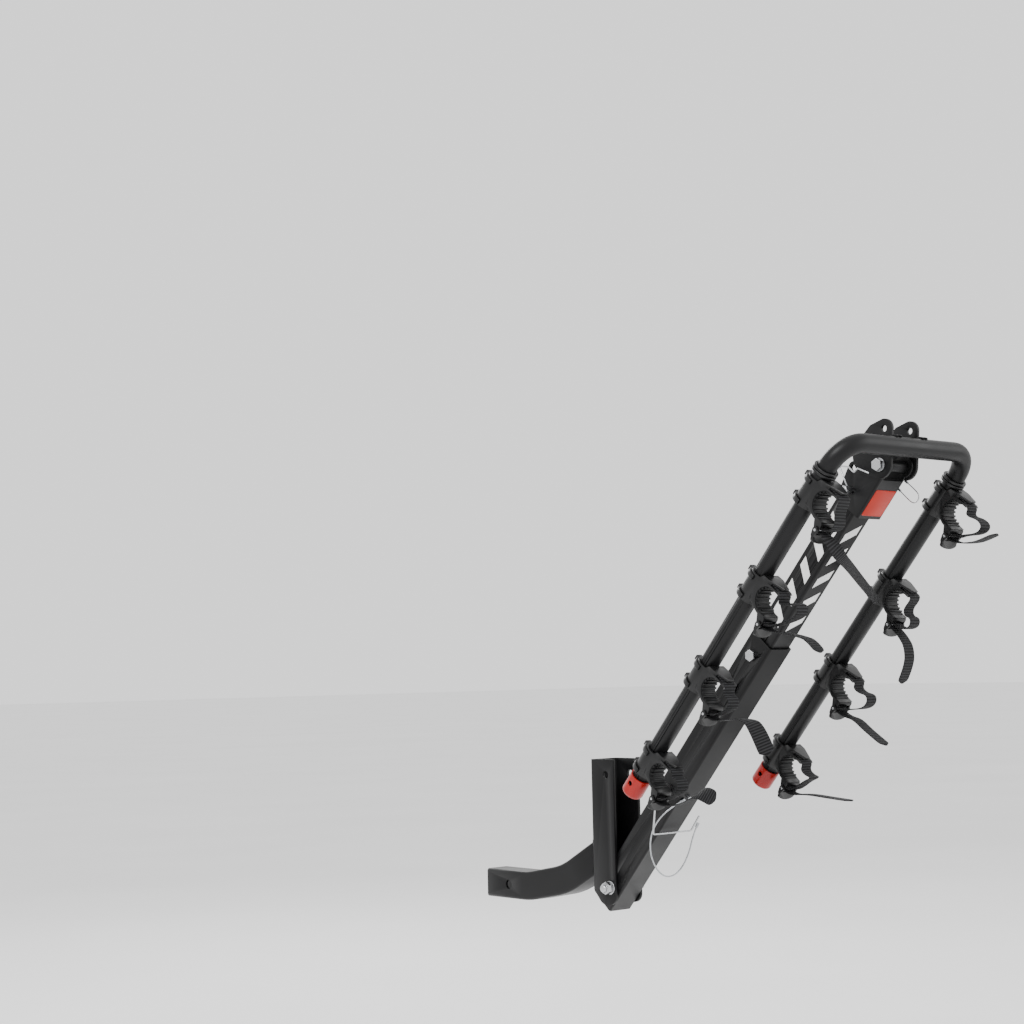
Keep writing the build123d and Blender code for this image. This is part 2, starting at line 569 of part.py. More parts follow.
def build_cradle(name, side_sign, place):
    """The moulded body: a sleeve on the arm, the cup, the beak and the hinge ears."""
    here = cradle_plane(side_sign, place)
    tube_plane = Plane(origin=here.origin, x_dir=(1, 0, 0), z_dir=ALONG)
    beak_plane = Plane(origin=here.origin + ALONG * (CUP_RADIUS + 2.2), x_dir=(1, 0, 0), z_dir=ALONG)
    half = CRADLE_WIDTH / 2
    with BuildPart() as cradle:
        with BuildSketch(here):
            with Locations((0, CUP_OFFSET)):
                Circle(CUP_RADIUS + CUP_WALL)
            Polygon(
                (-CUP_RADIUS + 2, ARM_TUBE / 2 - 3), (SLEEVE_HIGH - 2, 8), (BEAK_ROOT, 14), BEAK_TIP,
                (CUP_RADIUS - 3, LIP + 2), (CUP_RADIUS - 3, CUP_OFFSET), (-CUP_RADIUS - 2, CUP_OFFSET - 8),
                align=None,
            )
            with Locations((-CUP_RADIUS - CUP_WALL / 2 + 1.5, (CUP_OFFSET + LIP) / 2 - 1)):
                Rectangle(CUP_WALL + 2, LIP - CUP_OFFSET + 2)
            with Locations(BARREL_PLACE):
                Circle(BARREL_RADIUS)
        extrude(amount=half, both=True)
        with BuildSketch(tube_plane.offset(SLEEVE_LOW)):
            Circle(sleeve_radius)
        extrude(amount=SLEEVE_HIGH - SLEEVE_LOW)
        with BuildSketch(here):
            hollow(CUP_RADIUS, Mode.ADD)
        extrude(amount=CRADLE_WIDTH, both=True, mode=Mode.SUBTRACT)
        with BuildSketch(tube_plane.offset(2 * SLEEVE_LOW)):
            Circle(ARM_TUBE / 2 + FIT_GAP)
        extrude(amount=4 * SLEEVE_HIGH - SLEEVE_LOW, mode=Mode.SUBTRACT)
        with BuildSketch(here):
            with Locations((slot_middle, LIP)):
                Rectangle(STRAP_SLOT, 2 * (LIP - 28))
        extrude(amount=STRAP_WIDTH / 2 + 0.7, both=True, mode=Mode.SUBTRACT)
        with BuildSketch(beak_plane):
            for edge in (-1, 1):
                Polygon(
                    (edge * (half + 1), -26), (edge * half, -26), (edge * 4, -BEAK_TIP[1] - 2),
                    (edge * (half + 1), -BEAK_TIP[1] - 2),
                    align=None,
                )
        extrude(amount=30, mode=Mode.SUBTRACT)
        for ear in (-1, 1):
            with BuildSketch(here.offset(ear * ear_inner)):
                with Locations(HINGE_PLACE):
                    Circle(5)
                with Locations(BARREL_PLACE):
                    Circle(BARREL_RADIUS)
                with Locations((-CUP_RADIUS - CUP_WALL / 2, CUP_OFFSET)):
                    Circle(CUP_WALL / 2)
                make_hull()
                with Locations(HINGE_PLACE):
                    Circle(HINGE_BAR / 2, mode=Mode.SUBTRACT)
            extrude(amount=ear * (half - ear_inner))
    finish_part(cradle, name)


def build_strap(name, side_sign, place, loop, tail):
    """Webbing from the beak's slot, out in a loop, round the hinge bar and on to the tail."""
    here = cradle_plane(side_sign, place)
    turn = HINGE_BAR / 2 + SOFT_GAP + STRAP_THICKNESS / 2
    bar_u, bar_v = HINGE_PLACE
    points = [(slot_middle, 30.0), (slot_middle, LIP + 10)] + loop
    points += [(bar_u + turn, bar_v + 9), (bar_u + turn, bar_v - turn), (bar_u - turn, bar_v - turn)]
    points += [(bar_u - turn, bar_v + 8)] + tail
    radii = corner_radii([(u, v, 0) for u, v in points], largest=30.0)
    with BuildPart() as strap:
        with BuildSketch(here):
            with BuildLine() as path:
                FilletPolyline(*points, radius=radii)
            trace(path.line, line_width=STRAP_THICKNESS)
        extrude(amount=STRAP_WIDTH / 2, both=True)
        if not tail:
            for start, end in zip(CROSSING, CROSSING[1:]):
                for centre, run, wide in (start, end):
                    direction = Vector(run[0], 0, 0) + ALONG * run[1] + BEHIND * run[2]
                    width = Vector(wide[0], 0, 0) + ALONG * wide[1] + BEHIND * wide[2]
                    with BuildSketch(Plane(origin=mast_point(*centre), x_dir=width, z_dir=direction)):
                        Rectangle(STRAP_WIDTH, STRAP_THICKNESS)
                loft(ruled=True)
    finish_part(strap, name)


# The first left strap's tail twists and runs across behind the mast to the other arm.
# Each station: place, run and width direction, all across, along and behind the mast.
CROSSING = [
    ((-arm_half, FIRST_CRADLE + HINGE_PLACE[0] - 3.25, 87.0), (0, 0, 1), (1, 0, 0)),
    ((-151.5, 818.5, 98.0), (0.15, -0.2, 1), (1, 0.1, 0)),
    ((-143.0, 811.0, 111.0), (0.7, -0.45, 0.45), (0.9, 0.5, 0)),
    ((-126.0, 799.5, 117.0), (0.87, -0.45, 0.0), (0.6, 0.8, 0)),
    ((-95.0, 784.0, 111.5), (0.855, -0.464, -0.231), (0.456, 0.872, 0)),
    ((126.0, 664.5, 52.0), (0.855, -0.464, -0.231), (0.456, 0.872, 0)),
]

# Each strap's slack loop and free tail: along the arm and away from the arm's axis.
STRAP_PATHS = {
    ("left", 0): ([(15, 58.5), (-2, 63), (-11, 73), (-23, 70)], []),
    ("left", 1): ([(10, 58.5), (12, 67), (32, 84), (26, 97), (12, 96), (-22, 72)],
                  [(-34, 72), (-20, 92), (-6, 116), (3, 136), (0, 160)]),
    ("left", 2): ([(10, 58.5), (12, 73), (0, 81), (-22, 69)],
                  [(-34, 72), (-14, 90), (6, 112), (10, 136), (-7, 178)]),
    ("left", 3): ([(15, 58.5), (20, 71), (8, 83), (-22, 69)],
                  [(-32, 75), (-6, 97), (28, 108), (40, 125), (44, 141)]),
    ("right", 0): ([(9, 58.5), (18, 80), (15, 94), (0, 93), (-22, 68)],
                   [(-34, 72), (-22, 87), (-8, 101), (18, 116)]),
    ("right", 1): ([(16, 58.5), (0, 57), (-8, 65), (-3, 77), (-14, 84), (-27, 76)],
                   [(-41, 78), (-47, 97), (-68, 115), (-101, 121)]),
    ("right", 2): ([(13, 58.5), (14, 72), (22, 86), (14, 95), (-2, 92), (-24, 69)],
                   [(-36, 74), (-27, 90), (-26, 120), (-20, 160)]),
    ("right", 3): ([(12, 58.5), (11, 71), (17, 84), (1, 75), (-22, 68)],
                   [(-34, 71), (-22, 83), (-8, 99), (13, 128), (40, 164)]),
}


def build_lever(name, side_sign, place):
    """The buckle's lever: two cheeks on the hinge bar, a cross bar and the thumb paddle."""
    here = cradle_plane(side_sign, place)
    outer = lever_inner + LEVER_CHEEK
    with BuildPart() as lever:
        for cheek in (-1, 1):
            with BuildSketch(here.offset(cheek * lever_inner)):
                with Locations(HINGE_PLACE):
                    Circle(5)
                with Locations(LEVER_BAR_PLACE):
                    Circle(3)
                make_hull()
                with Locations(HINGE_PLACE):
                    Circle(HINGE_BAR / 2 + RUNNING, mode=Mode.SUBTRACT)
            extrude(amount=cheek * LEVER_CHEEK)
        with BuildSketch(here):
            with Locations(LEVER_BAR_PLACE):
                Circle(2.6)
        extrude(amount=outer, both=True)
        tab_start = here.from_local_coords((*LEVER_BAR_PLACE, 0))
        tab_end = here.from_local_coords((*LEVER_TIP, 0))
        tab_run = (tab_end - tab_start).length
        tab_normal = (tab_end - tab_start).cross(Vector(1, 0, 0)).normalized()
        tab_plane = Plane(origin=tab_start, x_dir=tab_end - tab_start, z_dir=tab_normal)
        with BuildSketch(tab_plane):
            with Locations((tab_run / 4, 0)):
                Rectangle(tab_run / 2, 2 * outer - 1)
            with Locations((tab_run / 2, 0)):
                Ellipse(tab_run / 2, outer - 0.5)
        extrude(amount=LEVER_THICKNESS / 2, both=True)
    finish_part(lever, name)


for side_sign, side_name in ((-1, "left"), (1, "right")):
    for index, place in enumerate(CRADLE_PLACES):
        build_cradle(f"cradle_{side_name}_{index + 1}", side_sign, place)
        loop, tail = STRAP_PATHS[(side_name, index)]
        build_strap(f"strap_{side_name}_{index + 1}", side_sign, place, loop, tail)
        build_lever(f"buckle_{side_name}_{index + 1}", side_sign, place)

    # ribbed rubber liners of this arm's cups
    with BuildPart() as cradle_pads:
        for place in CRADLE_PLACES:
            with BuildSketch(cradle_plane(side_sign, place)):
                hollow(CUP_RADIUS, Mode.ADD)
                hollow(CUP_RADIUS - PAD_SKIN, Mode.SUBTRACT)
                with Locations((0, 4 * LIP - 1)):
                    Rectangle(3 * CUP_RADIUS, 6 * LIP, mode=Mode.SUBTRACT)
                with Locations((0, CUP_OFFSET)):
                    with PolarLocations(CUP_RADIUS - PAD_SKIN - RIB_HEIGHT / 2 + 0.3, RIB_COUNT,
                                        start_angle=180, angular_range=180, endpoint=True):
                        Rectangle(RIB_HEIGHT, RIB_WIDTH)
            extrude(amount=CRADLE_WIDTH / 2 - 0.8, both=True)
    finish_part(cradle_pads, f"cradle_pads_{side_name}")

    # gripping collars on the far side of each sleeve
    with BuildPart() as cradle_clamps:
        for place in CRADLE_PLACES:
            for clamp_place in CLAMP_PLACES:
                clamp_plane = Plane(
                    origin=mast_point(side_sign * arm_half, place + clamp_place - CLAMP_WIDTH / 2, ARM_BACK),
                    x_dir=(1, 0, 0), z_dir=ALONG)
                with BuildSketch(clamp_plane):
                    Circle(sleeve_radius + CLAMP_HEIGHT)
                    Circle(sleeve_radius, mode=Mode.SUBTRACT)
                    with Locations((0, -CRADLE_WIDTH - 2)):
                        Rectangle(3 * CRADLE_WIDTH, 2 * CRADLE_WIDTH, mode=Mode.SUBTRACT)
                    with Locations((0, sleeve_radius + CLAMP_HEIGHT)):
                        Rectangle(12, 8)
                    Circle(sleeve_radius, mode=Mode.SUBTRACT)
                extrude(amount=CLAMP_WIDTH)
        for ring_place in (SLEEVE_HIGH + 8.4, SLEEVE_HIGH + 14.0):
            ring_plane = Plane(
                origin=mast_point(side_sign * arm_half, FIRST_CRADLE + ring_place, ARM_BACK),
                x_dir=(1, 0, 0), z_dir=ALONG)
            with BuildSketch(ring_plane):
                Circle(sleeve_radius + 1.4)
                Circle(ARM_TUBE / 2 + FIT_GAP, mode=Mode.SUBTRACT)
            extrude(amount=4.6)
        fillet(cradle_clamps.edges().filter_by(GeomType.CIRCLE).filter_by(
            lambda e: abs(e.radius - sleeve_radius - 1.4) < 0.01), 1.4)
    finish_part(cradle_clamps, f"cradle_clamps_{side_name}")

# one hinge pin through the ears and the lever of every cradle
with BuildPart() as buckle_hinge_pins:
    for side_sign in (-1, 1):
        for place in CRADLE_PLACES:
            with BuildSketch(cradle_plane(side_sign, place)):
                with Locations(HINGE_PLACE):
                    Circle(HINGE_BAR / 2)
            extrude(amount=lever_inner + LEVER_CHEEK + 0.6, both=True)
finish_part(buckle_hinge_pins, "buckle_hinge_pins")

# weld beads where the knuckle plates sit on the crossbar
with BuildPart() as knuckle_welds:
    for bead_at in (-KNUCKLE_OUTER / 2, -KNUCKLE_INNER / 2, KNUCKLE_INNER / 2, KNUCKLE_OUTER / 2):
        toward = 1 if bead_at in (-KNUCKLE_INNER / 2, KNUCKLE_OUTER / 2) else -1
        with BuildSketch(across(bead_at)):
            with Locations((CROSSBAR_PLACE, ARM_BACK)):
                Circle(ARM_TUBE / 2 + 3)
                Circle(ARM_TUBE / 2, mode=Mode.SUBTRACT)
            with Locations((CROSSBAR_PLACE, ARM_BACK + 21)):
                Rectangle(60, 50, mode=Mode.SUBTRACT)
        extrude(amount=toward * 3)
finish_part(knuckle_welds, "knuckle_welds")


# ---------------------------------------------------------------- wire lanyards
def lanyard(name, points, diameter):
    """A wire cord through the points; the corners' radii are printed for the record."""
    radii = corner_radii([tuple(point) for point in points])
    print(name, "radii", [round(radius, 1) for radius in radii])
    with BuildPart() as cord:
        with BuildLine() as path:
            FilletPolyline(*points, radius=radii)
        with BuildSketch(Plane(origin=path.line @ 0, z_dir=path.line % 0)):
            Circle(diameter / 2)
        sweep(path=path.line)
    section = 3.14159265 * diameter * diameter / 4
    length = sum(edge.length for edge in path.line.edges())
    print(name, "length", round(length, 1), "volume over section times length",
          round(cord.part.volume / section / length, 4))
    finish_part(cord, name)


def ferrules(name, ends, diameter, outer):
    """Crimped sleeves on a cord, each given by where it starts, a point further along and its length."""
    with BuildPart() as sleeves:
        for end, before, length in ends:
            inward = (before - end).normalized()
            with BuildSketch(Plane(origin=end, z_dir=inward)):
                Circle(outer / 2)
                Circle(diameter / 2, mode=Mode.SUBTRACT)
            extrude(amount=length)
    finish_part(sleeves, name)


TILT_CORD = 2.5
HEAD_CORD = 1.6
tilt_cord_points = [
    mast_point(-14, 226, 28.0),
    mast_point(-38, 208, 28.0),
    mast_point(-51, 181, 29.0),
    mast_point(-52, 152, 34.0),
    mast_point(-46, 122, 50),
    mast_point(-24, 96, 68),
    mast_point(4, 88, 74),
    mast_point(31, 99, 66),
    mast_point(46, 122, 51),
    mast_point(50, 146, 37),
    mast_point(51, 170, 32),
]
head_cord_points = [
    mast_point(37, 834, 14),
    mast_point(37, 842, -6),
    mast_point(38, 860, -18),
    mast_point(38, 871, 0.5),
    mast_point(38, 867.5, 43),
    mast_point(38, 868, 66.5),
    mast_point(38, 885, 67),
    mast_point(38, 887, 47),
    mast_point(38, 886, 29),
]
lanyard("tilt_pin_lanyard", tilt_cord_points, TILT_CORD)
lanyard("head_pin_lanyard", head_cord_points, HEAD_CORD)
ferrules("tilt_lanyard_ferrules", [(tilt_cord_points[-1], tilt_cord_points[-2], 8),
                                   (tilt_cord_points[0], tilt_cord_points[1], 8)], TILT_CORD, 5.0)
straight_run = head_cord_points[4] - head_cord_points[3]
long_crimp = head_cord_points[3] + straight_run * 0.245
ferrules("head_lanyard_ferrules", [(head_cord_points[-1], head_cord_points[-2], 6),
                                   (head_cord_points[0], head_cord_points[1], 6),
                                   (long_crimp, head_cord_points[4], 21)], HEAD_CORD, 3.8)

with BuildPart() as lanyard_studs:
    with BuildSketch(Plane(origin=mast_point(-7, 230, LOWER_MAST / 2), z_dir=BEHIND)):
        Circle(3.5)
    extrude(amount=5)
    with BuildSketch(Plane(origin=mast_point(HEAD_OUTER / 2, 829.2, 14.5), z_dir=(1, 0, 0))):
        Circle(2.5)
    extrude(amount=12)
finish_part(lanyard_studs, "lanyard_studs")
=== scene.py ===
# %% [markdown]
# # A folding bicycle rack on its hitch shank
# The rack is a steel mast on a hinge bracket, with a U of round tube on top that carries eight
# rubber-lined cradles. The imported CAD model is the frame: its steel stays as it is and gets new
# materials, while straps and wire lanyards are built here, because soft things need smooth curves.

# %% Load the frame
import json
import math

import bpy
import numpy as np
from mathutils import Matrix, Vector


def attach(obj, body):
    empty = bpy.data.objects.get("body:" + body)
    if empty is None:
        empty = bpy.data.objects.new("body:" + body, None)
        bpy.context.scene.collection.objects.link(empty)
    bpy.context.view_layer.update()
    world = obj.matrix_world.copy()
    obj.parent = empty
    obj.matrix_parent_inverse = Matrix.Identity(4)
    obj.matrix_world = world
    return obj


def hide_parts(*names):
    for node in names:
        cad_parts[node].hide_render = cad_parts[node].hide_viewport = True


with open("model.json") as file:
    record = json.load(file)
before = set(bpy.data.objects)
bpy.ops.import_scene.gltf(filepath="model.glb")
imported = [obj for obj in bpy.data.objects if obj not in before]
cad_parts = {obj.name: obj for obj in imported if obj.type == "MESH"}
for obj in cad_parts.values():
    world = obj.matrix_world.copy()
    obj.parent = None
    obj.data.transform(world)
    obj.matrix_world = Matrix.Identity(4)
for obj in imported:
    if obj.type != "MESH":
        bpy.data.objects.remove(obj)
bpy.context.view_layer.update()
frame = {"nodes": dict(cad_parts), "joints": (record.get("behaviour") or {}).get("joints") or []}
NODES = frame["nodes"]
JOINTS = {joint["name"]: joint for joint in frame["joints"]}
MM = 0.001
print("CAD nodes:", len(NODES))

# %% [markdown]
# ## The mast's own directions
# Almost everything follows the leaning mast, so places are given across it, along it and behind
# it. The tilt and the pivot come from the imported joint, so they can't drift from the CAD.

# %% Directions along and behind the mast
TILT = math.radians(-JOINTS["mast_tilt"]["range_deg"][0])
PIVOT = np.array(JOINTS["mast_tilt"]["pos_m"])
ACROSS = np.array([1.0, 0.0, 0.0])
ALONG = np.array([0.0, -math.sin(TILT), math.cos(TILT)])
BEHIND = np.array([0.0, -math.cos(TILT), -math.sin(TILT)])
AXIS_OFFSET = 5.5                 # the mast's axis runs this far in front of the pivot
MAST_ROOT = PIVOT - BEHIND * AXIS_OFFSET * MM
MAST_AXES = np.stack([ACROSS, ALONG, BEHIND])
ARM_HALF = 152.4
ARM_BACK = 28.9
CRADLE_PLACES = [859.5, 681.7, 503.9, 326.1]


def mast_points(places):
    """Places in mm across, along and behind the mast, as points in metres: root + places times axes."""
    return MAST_ROOT + np.asarray(places, float) * MM @ MAST_AXES


def linear(hex_colour):
    """sRGB hex to linear RGB: c/12.92 below 0.04045, else ((c + 0.055)/1.055) to the power 2.4."""
    srgb = np.array([int(hex_colour[i:i + 2], 16) for i in (1, 3, 5)]) / 255
    rgb = np.where(srgb <= 0.04045, srgb / 12.92, ((srgb + 0.055) / 1.055) ** 2.4)
    return (*map(float, rgb), 1.0)


# %% [markdown]
# ## Camera first
# The camera stands behind the car's left corner, a little below the rack's middle, and looks
# slightly up. Its three axes are written out, so the view is exact.

# %% Camera
CAMERA_PLACE = (-2.3382, -2.7382, 0.3864)
VIEW_TURN = math.radians(-40.5)
VIEW_LIFT = math.radians(4.66)
VIEW_ROLL = math.radians(-1.16)
forward = np.array([-math.sin(VIEW_TURN) * math.cos(VIEW_LIFT),
                    math.cos(VIEW_TURN) * math.cos(VIEW_LIFT), math.sin(VIEW_LIFT)])
level = np.cross(forward, (0, 0, 1))
level /= np.linalg.norm(level)
upward = np.cross(level, forward)
right = math.cos(VIEW_ROLL) * level + math.sin(VIEW_ROLL) * upward
top = -math.sin(VIEW_ROLL) * level + math.cos(VIEW_ROLL) * upward
camera = bpy.data.objects.new("camera", bpy.data.cameras.new("camera"))
bpy.context.scene.collection.objects.link(camera)
turned = Matrix(np.stack([right, top, -forward]).T.tolist()).to_4x4()
camera.matrix_world = Matrix.Translation(CAMERA_PLACE) @ turned
camera.data.sensor_width = 36.0
camera.data.lens = 68.5
camera.data.clip_end = 200.0
bpy.context.scene.camera = camera

# %% [markdown]
# ## Adding nodes
# Every material below is a small graph. One helper adds a node, sets its values and links its
# inputs, so each material reads as a list of what it is made of.


# %% One function that adds a node
def add(tree, kind, inputs=None, **settings):
    """Adds a node; inputs may be numbers, colours or other nodes' output sockets."""
    made = tree.nodes.new("ShaderNode" + kind)
    for name, value in settings.items():
        setattr(made, name, value)
    for name, value in (inputs or {}).items():
        if isinstance(value, bpy.types.NodeSocket):
            tree.links.new(value, made.inputs[name])
        else:
            made.inputs[name].default_value = value
    return made


def material(name):
    """A new material with an empty graph but for its output."""
    made = bpy.data.materials.new(name)
    made.use_nodes = True
    tree = made.node_tree
    tree.nodes.clear()
    return made, tree, add(tree, "OutputMaterial")


def noise(tree, size_mm, detail=3.0, where=None):
    """Noise whose blobs are about size_mm across, over the piece's own coordinates in metres."""
    where = where or add(tree, "TexCoord").outputs["Object"]
    return add(tree, "TexNoise", {"Vector": where, "Scale": 1 / (size_mm * MM), "Detail": detail})


def ramp(tree, value, low, high, first, last):
    """A colour blend: first below low, last above high."""
    made = add(tree, "ValToRGB", {"Fac": value})
    made.color_ramp.elements[0].position = low
    made.color_ramp.elements[0].color = first
    made.color_ramp.elements[1].position = high
    made.color_ramp.elements[1].color = last
    return made.outputs["Color"]


def spread(tree, value, low, high, to_low, to_high):
    """A number's range stretched onto another."""
    return add(tree, "MapRange", {"Value": value, "From Min": low, "From Max": high,
                                  "To Min": to_low, "To Max": to_high}).outputs["Result"]


# %% [markdown]
# ## Powder coat
# Satin black powder coat is a skin of melted grains: nearly even in colour, with a fine pebble
# that breaks its highlights. Fine noise drives the bump, and broad noise the roughness.


# %% Satin black powder coat
def powder_coat(name, dark, light, pebble_mm=0.9, height_mm=0.05):
    """Dark base, fine pebble in the bump, broad patches in the roughness."""
    made, tree, out = material(name)
    patches = noise(tree, 60, 2.0).outputs["Fac"]
    pebble = noise(tree, pebble_mm, 2.0).outputs["Fac"]
    bump = add(tree, "Bump", {"Height": pebble, "Strength": 0.35, "Distance": height_mm * MM})
    shader = add(tree, "BsdfPrincipled", {
        "Base Color": ramp(tree, patches, 0.3, 0.7, linear(dark), linear(light)),
        "Roughness": spread(tree, patches, 0.3, 0.7, 0.36, 0.46),
        "Normal": bump.outputs["Normal"], "Specular IOR Level": 0.22})
    tree.links.new(shader.outputs["BSDF"], out.inputs["Surface"])
    return made


STEEL = powder_coat("black_powder_coat", "#0c0c0d", "#111112")
WELD = powder_coat("coated_weld", "#0c0c0d", "#151516", 2.2, 0.6)

# %% [markdown]
# ## Zinc plate
# The bolts, nuts and pins are bright zinc: a metal with a faint mottle and tiny scratches.


# %% Bright zinc and plated wire
def bright_metal(name, dark, light, low, high, stretch=(1, 1, 1)):
    """Metal with a mottled tint and roughness; stretch draws the noise out into scratches."""
    made, tree, out = material(name)
    where = add(tree, "Mapping", {"Vector": add(tree, "TexCoord").outputs["Object"], "Scale": stretch})
    mottle = noise(tree, 3.0, 3.0, where.outputs["Vector"]).outputs["Fac"]
    scratch = noise(tree, 0.5, 2.0, where.outputs["Vector"]).outputs["Fac"]
    bump = add(tree, "Bump", {"Height": scratch, "Strength": 0.2, "Distance": 0.03 * MM})
    shader = add(tree, "BsdfPrincipled", {
        "Base Color": ramp(tree, mottle, 0.3, 0.7, linear(dark), linear(light)),
        "Roughness": spread(tree, mottle, 0.3, 0.7, low, high),
        "Normal": bump.outputs["Normal"], "Metallic": 1.0})
    tree.links.new(shader.outputs["BSDF"], out.inputs["Surface"])
    return made


ZINC = bright_metal("bright_zinc", "#a2a3a5", "#cdced0", 0.22, 0.38, (1, 4, 4))
WIRE = bright_metal("plated_wire", "#8f9194", "#bcbec1", 0.25, 0.4)


# %% [markdown]
# ## Moulded plastics
# The arm caps are glossy coral red, the label is a plain orange-red film, and the cradles and
# levers are black nylon with the soft sheen of a fresh moulding.


# %% Moulded plastics and rubber
def moulded(name, dark, light, low, high, grain_mm, height_mm, coat=0.0, shine=0.25):
    """Plastic: slight colour drift, a moulded grain in the bump, and roughness between low and high."""
    made, tree, out = material(name)
    drift = noise(tree, 25, 2.0).outputs["Fac"]
    grain = noise(tree, grain_mm, 3.0).outputs["Fac"]
    bump = add(tree, "Bump", {"Height": grain, "Strength": 0.3, "Distance": height_mm * MM})
    shader = add(tree, "BsdfPrincipled", {
        "Base Color": ramp(tree, drift, 0.3, 0.7, linear(dark), linear(light)),
        "Roughness": spread(tree, grain, 0.3, 0.7, low, high),
        "Normal": bump.outputs["Normal"], "Coat Weight": coat, "Coat Roughness": 0.12,
        "Specular IOR Level": shine})
    tree.links.new(shader.outputs["BSDF"], out.inputs["Surface"])
    return made


RED = moulded("coral_red_plastic", "#8a0f0a", "#9a140e", 0.22, 0.34, 1.2, 0.05, 0.25)
LABEL = moulded("orange_red_film", "#a01c08", "#aa220b", 0.3, 0.4, 2.0, 0.03)
NYLON = moulded("black_nylon", "#09090a", "#0f0f10", 0.28, 0.42, 0.8, 0.08, 0.0, 0.35)
RUBBER = moulded("ribbed_black_rubber", "#08080a", "#0e0e0f", 0.38, 0.55, 0.6, 0.06)
PAINT = moulded("white_paint", "#dcdcdb", "#efefee", 0.35, 0.5, 1.0, 0.04)

# %% [markdown]
# ## Woven webbing
# The straps are woven nylon with a bound edge. The material draws cross ribs a couple of millimetres
# apart and a finer thread along the length, but not the binding. The rib follows the strap, so it is
# driven by the length and width stored in its UV map, in millimetres.


# %% Woven webbing
def woven(name, dark, light, rib_mm=4.6, thread_mm=1.5):
    """Height is sin(2 pi length/rib) plus a little sin(2 pi width/thread); colour follows height, as a
    painted highlight on the rib crests and painted shade in the valleys.
    """
    made, tree, out = material(name)
    split = add(tree, "SeparateXYZ", {"Vector": add(tree, "UVMap", uv_map="run").outputs["UV"]})

    def wave(value, period):
        turn = add(tree, "Math", {0: value, 1: 2 * math.pi / period}, operation="MULTIPLY")
        return add(tree, "Math", {0: turn.outputs[0]}, operation="SINE").outputs[0]
    rib = wave(split.outputs["X"], rib_mm)
    thread = wave(split.outputs["Y"], thread_mm)
    height = add(tree, "Math", {0: thread, 1: 0.35, 2: rib}, operation="MULTIPLY_ADD").outputs[0]
    fuzz = noise(tree, 0.5, 3.0).outputs["Fac"]
    bump = add(tree, "Bump", {"Height": height, "Strength": 0.9, "Distance": 0.6 * MM})
    # painted highlight and shade: the colour goes lighter where the weave rises and darker in its valleys
    painted_rib_light = spread(tree, height, -1.3, 1.3, 0.0, 1.0)
    shader = add(tree, "BsdfPrincipled", {
        "Base Color": ramp(tree, painted_rib_light, 0.15, 0.95, linear(dark), linear(light)),
        "Roughness": spread(tree, fuzz, 0.3, 0.7, 0.6, 0.8),
        "Normal": bump.outputs["Normal"], "Specular IOR Level": 0.2})
    tree.links.new(shader.outputs["BSDF"], out.inputs["Surface"])
    return made


WEBBING = woven("black_webbing", "#060607", "#2e2e30")

# %% [markdown]
# ## Dressing the CAD nodes
# The steel, caps and mouldings keep their exact CAD shape. A weld joins the imported corners and a
# small bevel then rounds the sharp edges, so they catch light as pressed and cast edges do.


# %% Materials and soft edges on the CAD nodes
def dressed(node, finish, edge_mm):
    """Gives a CAD node its material and rounds its sharp edges by edge_mm."""
    piece = NODES[node]
    piece.data.materials.clear()
    piece.data.materials.append(finish)
    piece.data.polygons.foreach_set("use_smooth", [True] * len(piece.data.polygons))
    weld = piece.modifiers.new("weld", "WELD")
    weld.merge_threshold = 0.01 * MM
    if edge_mm:
        bevel = piece.modifiers.new("edges", "BEVEL")
        bevel.width = edge_mm * MM
        bevel.segments = 2
        bevel.limit_method = "ANGLE"
        bevel.angle_limit = math.radians(35)
        bevel.harden_normals = True
    else:
        crease = piece.modifiers.new("creases", "EDGE_SPLIT")
        crease.split_angle = math.radians(35)


FINISHES = {
    "shank_tube": (STEEL, 0.8), "bracket_channel": (STEEL, 0.8), "lower_mast_tube": (STEEL, 0.6),
    "upper_mast_tube": (STEEL, 0.6), "head_bracket": (STEEL, 0.7), "knuckle_plates": (STEEL, 0.7),
    "arm_tube": (STEEL, 0.5), "pivot_sleeves": (STEEL, 0.3),
    "shank_weld": (WELD, 1.5), "knuckle_welds": (WELD, 0.9),
    "head_label": (LABEL, 0.2), "end_cap_left": (RED, 0.5), "end_cap_right": (RED, 0.5),
}
for node in NODES:
    if node in FINISHES:
        dressed(node, *FINISHES[node])
    elif node.startswith("cradle_pads"):
        dressed(node, RUBBER, 0.45)
    elif node.startswith("cradle_clamps"):
        dressed(node, NYLON, 0.9)
    elif node.startswith("cradle"):
        dressed(node, NYLON, 1.0)
    elif node.startswith("buckle") and node != "buckle_hinge_pins":
        dressed(node, NYLON, 0.9)
    elif node.startswith("strap"):
        dressed(node, WEBBING, 0.0)
    elif "lanyard" in node:
        dressed(node, WIRE, 0.0)
    else:
        dressed(node, ZINC, 0.35)

# %% [markdown]
# ## Curves through a route
# A strap or a wire hangs in one smooth line. A quadratic B-spline takes a few route points and
# leaves them as arcs that meet halfway along each run, which is how a springy band bends.


# %% Smooth lines and swept bands
def smooth_line(points, steps=14):
    """Quadratic B-spline: each inner point bends the arc between the middles of its two runs."""
    points = np.asarray(points, float)
    middles = (points[:-1] + points[1:]) / 2
    starts = middles[:-1].copy()
    ends = middles[1:].copy()
    starts[0] = points[0]
    ends[-1] = points[-1]
    t = np.linspace(0, 1, steps, endpoint=False)[None, :, None]
    arcs = (1 - t) ** 2 * starts[:, None] + 2 * t * (1 - t) * points[1:-1, None] + t ** 2 * ends[:, None]
    return np.vstack([arcs.reshape(-1, points.shape[1]), ends[-1:]])


def unit(vectors):
    """Each row divided by its length."""
    return vectors / np.linalg.norm(vectors, axis=-1, keepdims=True)


